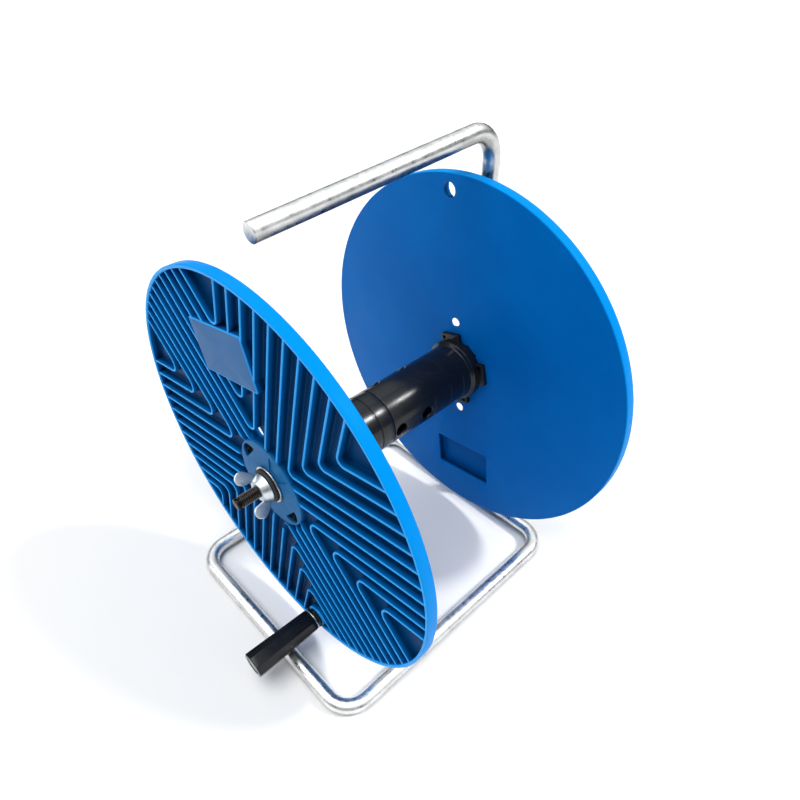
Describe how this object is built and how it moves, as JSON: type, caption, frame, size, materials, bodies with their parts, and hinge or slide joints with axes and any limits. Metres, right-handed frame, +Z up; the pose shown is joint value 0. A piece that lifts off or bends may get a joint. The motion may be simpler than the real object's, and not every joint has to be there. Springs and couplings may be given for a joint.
{
  "type": "hand crank wire winder",
  "caption": "Hand crank wire winder: a drum with ribbed blue flanges and a black core turns on a threaded axle in a bent bar floor frame with a carrying handle.",
  "frame": {"origin": "on the floor, under the middle of the whole winder's box", "axes": "+Z up; the axle lies along Y and the crank side faces -Y; +X is to the right as seen from the crank side"},
  "size_m": [0.3298, 0.3172, 0.3796],
  "materials": {
    "blue_plastic": "satin moulded blue plastic",
    "black_plastic": "semi-gloss moulded black plastic",
    "grip_plastic": "glossy black plastic",
    "bush_plastic": "dull black bearing plastic",
    "brake_rubber": "dull black rubber",
    "black_steel": "oiled black steel",
    "bar_steel": "bright zinc plated steel",
    "zinc_steel": "zinc plated steel",
    "cast_zinc": "bright cast zinc"
  },
  "bodies": {
    "frame": {"base_loop": "bar_steel", "handle_bar": "bar_steel", "axle_rod": "black_steel", "rear_spacer": "bush_plastic", "rear_washer": "zinc_steel", "axle_nut": "zinc_steel"},
    "drum": {"crank_flange": "blue_plastic", "rear_flange": "blue_plastic", "core_front_half": "black_plastic", "core_rear_half": "black_plastic", "front_bush": "bush_plastic", "rear_bush": "bush_plastic", "crank_bolt": "zinc_steel", "crank_washer": "zinc_steel", "crank_lock_nut": "black_steel", "crank_inner_nut": "zinc_steel"},
    "grip": {"crank_grip": "grip_plastic", "grip_cap": "grip_plastic"},
    "brake_stack": {"fender_washer": "zinc_steel", "brake_washer": "brake_rubber"},
    "wing_nut": {"wing_nut": "cast_zinc"}
  },
  "joints": [
    {"name": "drum_spin", "type": "hinge", "parent": "frame", "child": "drum", "pos_m": [0, 0, 0.17986], "axis": [0, 1, 0], "continuous": true},
    {"name": "grip_spin", "type": "hinge", "parent": "drum", "child": "grip", "pos_m": [0.03042, -0.12755, 0.03033], "axis": [0, 1, 0], "continuous": true},
    {"name": "brake_slide", "type": "slide", "parent": "frame", "child": "brake_stack", "axis": [0, -1, 0], "range_m": [0, 0.00625]},
    {"name": "wing_nut_turn", "type": "hinge", "parent": "brake_stack", "child": "wing_nut", "pos_m": [0, -0.10255, 0.17986], "axis": [0, -1, 0], "range_deg": [0, 1800]}
  ],
  "couplings": [
    {"joint": "brake_slide", "follows": "wing_nut_turn", "m_per_rad": 0.00019894}
  ]
}
